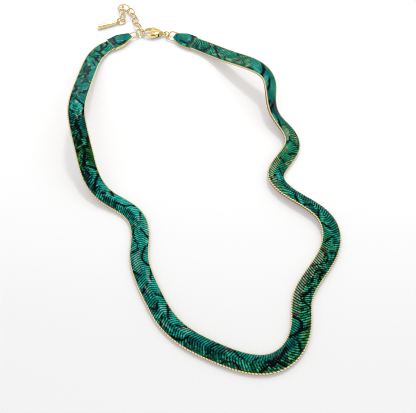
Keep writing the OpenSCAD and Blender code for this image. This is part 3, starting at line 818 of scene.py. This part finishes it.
# Enamelled tops of the two caps, in mm. x runs from the cap's mouth to its tip, v is positive
# inside. OWN_PRINT moves each cap to a piece of the print's noise of its own
CAP_LEN = 11
CAP_W = 7.3
CAP_TIP_W = 2.6
CAP_FLARE = 6
ENAMEL_FROM = 0.28
ENAMEL_TO = 10.85
ENAMEL_INSET = 0.06
ENAMEL_LOW = 1.41
ENAMEL_RIM = 1.52
ENAMEL_DOME = 0.34
ENAMEL_END = 0.7
ENAMEL_END_DROP = 0.04
ENAMEL_LIP = 0.02
ENAMEL_LIP_DROP = 0.05
ENAMEL_RINGS = 44
ENAMEL_TOP_POINTS = 33
ENAMEL_LIGHT = 0.52
ENAMEL_WARM = 0.15
ENAMEL_PALE = 0.16
NAVY_STRENGTH = 0.75
OWN_PRINT = 60

LEFT_CAP_BANDS = [
    (0.5, (2.7, -2), (2.2, -0.6), (2.1, 1.4), (2.7, 2.6)),
    (0.35, (2.7, 2.6), (4.6, 2.8), (6.6, 2.4)), (0.25, (1, -3.5), (4.5, -3.2), (8, -2.6)),
    (0.3, (0.5, 0.4), (1.2, 1.6)),
]
LEFT_CAP_BRIGHTS = [
    (0.15, (3.6, -0.6), (3.6, 0.6), (4.2, 1.5), (5.6, 1.7)), (0.3, (1.4, 3.2), (2.4, 3.4)),
]
LEFT_CAP_NAVY = [(1.2, 0, 1.4, 3.4), (4.6, 2.8, 2.6, 0.7)]
RIGHT_CAP_BANDS = [
    (0.5, (4, -4), (1.9, -2.8), (1.2, -1.2), (1.2, 0.8)),
    (0.4, (1.2, 0.8), (2.4, 1.8), (3.7, 2), (5, 1.7)), (0.3, (5, 1.7), (5.8, 1.9), (6.4, 1.6)),
    (0.35, (1.7, 2.6), (1.7, 3.5)), (0.2, (9.6, -1), (9.4, 0.4)),
]
RIGHT_CAP_BRIGHTS = [
    (0.12, (4.6, -2.5), (2.9, -1.6), (2.6, 0), (3.4, 1)), (0.4, (0.4, -2.4), (0.4, -1.2)),
    (0.35, (3, 3.1), (4.4, 3)),
]
RIGHT_CAP_NAVY = [(1.6, 1.4, 1.4, 1.4), (3.9, 2, 1.6, 0.7), (6.3, 1.9, 0.8, 0.7)]


def cap_half(x):
    flare = np.clip((x - (CAP_LEN - CAP_FLARE)) / CAP_FLARE, 0, 1)
    return CAP_TIP_W / 2 + (CAP_W - CAP_TIP_W) / 2 * (1 - flare**1.25)


def enamel_ring(x, across_t):
    """Points across and up of the enamel's outline at x: its dome, then its lips and underside."""
    half = cap_half(x) - ENAMEL_INSET
    inward = smooth(0, 1, min(x - ENAMEL_FROM, ENAMEL_TO - x) / ENAMEL_END)
    dome = ENAMEL_DOME * (1 - across_t**4) * inward
    top = ENAMEL_RIM + dome - ENAMEL_END_DROP * (1 - inward)
    lip = (half + ENAMEL_LIP, ENAMEL_RIM - ENAMEL_LIP_DROP)
    low = [(-lip[0], lip[1]), (-half, ENAMEL_LOW), (half, ENAMEL_LOW), lip]
    return list(zip(half * across_t, top)) + low


def cap_enamel(name, node, end, sign, bands, brights, navy, material):
    """Domed enamel of the cap at route parameter end. sign is the way from the chain."""
    p, heading, across, up = (v[0] for v in on_route([end]))
    steps = (1 - np.cos(np.linspace(0, np.pi, ENAMEL_RINGS))) / 2
    xs = ENAMEL_FROM + (ENAMEL_TO - ENAMEL_FROM) * steps
    across_t = np.sin(np.linspace(np.pi / 2, -np.pi / 2, ENAMEL_TOP_POINTS))
    rings = np.array([enamel_ring(x, across_t) for x in xs])
    sides = rings.shape[1]
    v, h = rings.reshape(-1, 2).T
    x = np.repeat(xs, sides)
    out, aside, high = ((part * MM)[:, None] for part in (sign * x, v, h))
    points = p + out * heading + aside * across + high * up
    faces = tube_faces(len(xs), sides)
    if sign < 0:
        faces = [tuple(reversed(f)) for f in faces]
    piece = mesh_piece(name, points, faces, material)
    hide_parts(node)

    near = smooth(4.5, 1.2, x)
    middle = np.exp(-(((x - 5) / 2.6) ** 2 + ((v + 0.4) / 1.9) ** 2))
    warm = ENAMEL_WARM + 0.15 * smooth(1.5, 3, v) + 0.15 * middle
    add_vectors(piece, "skin", x + OWN_PRINT * sign, v, 0)
    add_vectors(piece, "zone", ENAMEL_LIGHT - 0.08 * near, warm, 0)
    add_vectors(piece, "marks", nearest_band(x, v, bands), ENAMEL_PALE * middle, 1)
    add_vectors(piece, "lines", nearest_band(x, v, brights), 0, near)
    add_vectors(piece, "tints", 0, 0, NAVY_STRENGTH * patch_strength(x, v, navy))


gold = gold_material()
snakeskin = skin_material()

PLATES = round(CHAIN_LEN / PITCH)
quarters = [round(PLATES * k / 4) for k in range(5)]
for k in range(4):
    plates = chain_plates(f"chain_plates_{k + 1}", quarters[k], quarters[k + 1], snakeskin)
    if k == 0:
        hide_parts("snake_chain")
chain_core(shaded_core_material())

cap_enamel(
    "left_enamel", "left_cap_enamel", 0, -1,
    LEFT_CAP_BANDS, LEFT_CAP_BRIGHTS, LEFT_CAP_NAVY, snakeskin,
)
cap_enamel(
    "right_enamel", "right_cap_enamel", LAST, 1,
    RIGHT_CAP_BANDS, RIGHT_CAP_BRIGHTS, RIGHT_CAP_NAVY, snakeskin,
)

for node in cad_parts.values():
    node.data.materials.clear()
    node.data.materials.append(gold)

# Floor, light and surroundings
FLOOR_HALF = 1.5
FLOOR_Z = -0.00002
FLOOR_GREY = 0.72

floor_mesh = bpy.data.meshes.new("floor")
corners = [
    (x * FLOOR_HALF, y * FLOOR_HALF, FLOOR_Z) for x, y in ((-1, -1), (1, -1), (1, 1), (-1, 1))
]
floor_mesh.from_pydata(corners, [], [(0, 1, 2, 3)])
floor = bpy.data.objects.new("floor", floor_mesh)
scene.collection.objects.link(floor)
floor_material, floor_tree, floor_shader = new_material("pale_floor")
floor_shader["Base Color"].default_value = (FLOOR_GREY, FLOOR_GREY, FLOOR_GREY, 1)
# The floor glows faintly as painted light, more towards the back, which lifts the shadows on it
floor_shader["Emission Color"].default_value = (1, 1, 1, 1)
floor_y = split_node(floor_tree, coordinates(floor_tree, "Object"))["Y"]
glow = range_node(floor_tree, floor_y, -0.1, 0, 0.2, 0.28)
socket(floor_tree, glow, floor_shader["Emission Strength"])
floor_shader["Roughness"].default_value = 0.6
floor_mesh.materials.append(floor_material)

world = bpy.data.worlds.new("studio")
world.use_nodes = True
world_tree = world.node_tree
sky = world_tree.nodes["Background"].inputs
sky["Color"].default_value = (1, 1, 1, 1)
towards = split_node(world_tree, coordinates(world_tree, "Generated"))
front = range_node(world_tree, towards["Y"], -0.3, 0.5, 0.7, 0.62)
horizon = range_node(world_tree, towards["Z"], 0, 0.3, 0.6, 0)
socket(world_tree, add(world_tree, front, horizon), sky["Strength"])
scene.world = world


def area_light(name, place, aim, width, height, watts):
    data = bpy.data.lights.new(name, "AREA")
    data.shape = "RECTANGLE"
    data.size = width
    data.size_y = height
    data.energy = watts
    light = bpy.data.objects.new(name, data)
    light.location = place
    dx, dy, dz = np.array(aim, float) - np.array(place, float)
    tilt = math.atan2(math.hypot(dx, dy), -dz)
    light.rotation_euler = (tilt, 0, math.atan2(dy, dx) - math.pi / 2)
    scene.collection.objects.link(light)
    return light


# Name, place, aim, width and height in metres, and watts
area_light("key", (0.13, 0.48, 1.0), (0, 0, 0), 0.14, 0.14, 2.7)
softbox = area_light("softbox", (0.05, 0.33, 0.45), (0.02, 0.15, 0), 0.8, 0.3, 0.65)
softbox.visible_glossy = False
area_light("card", (-0.06, 0.5, 0.3), (-0.02, 0.07, 0.003), 0.34, 0.2, 0.14)
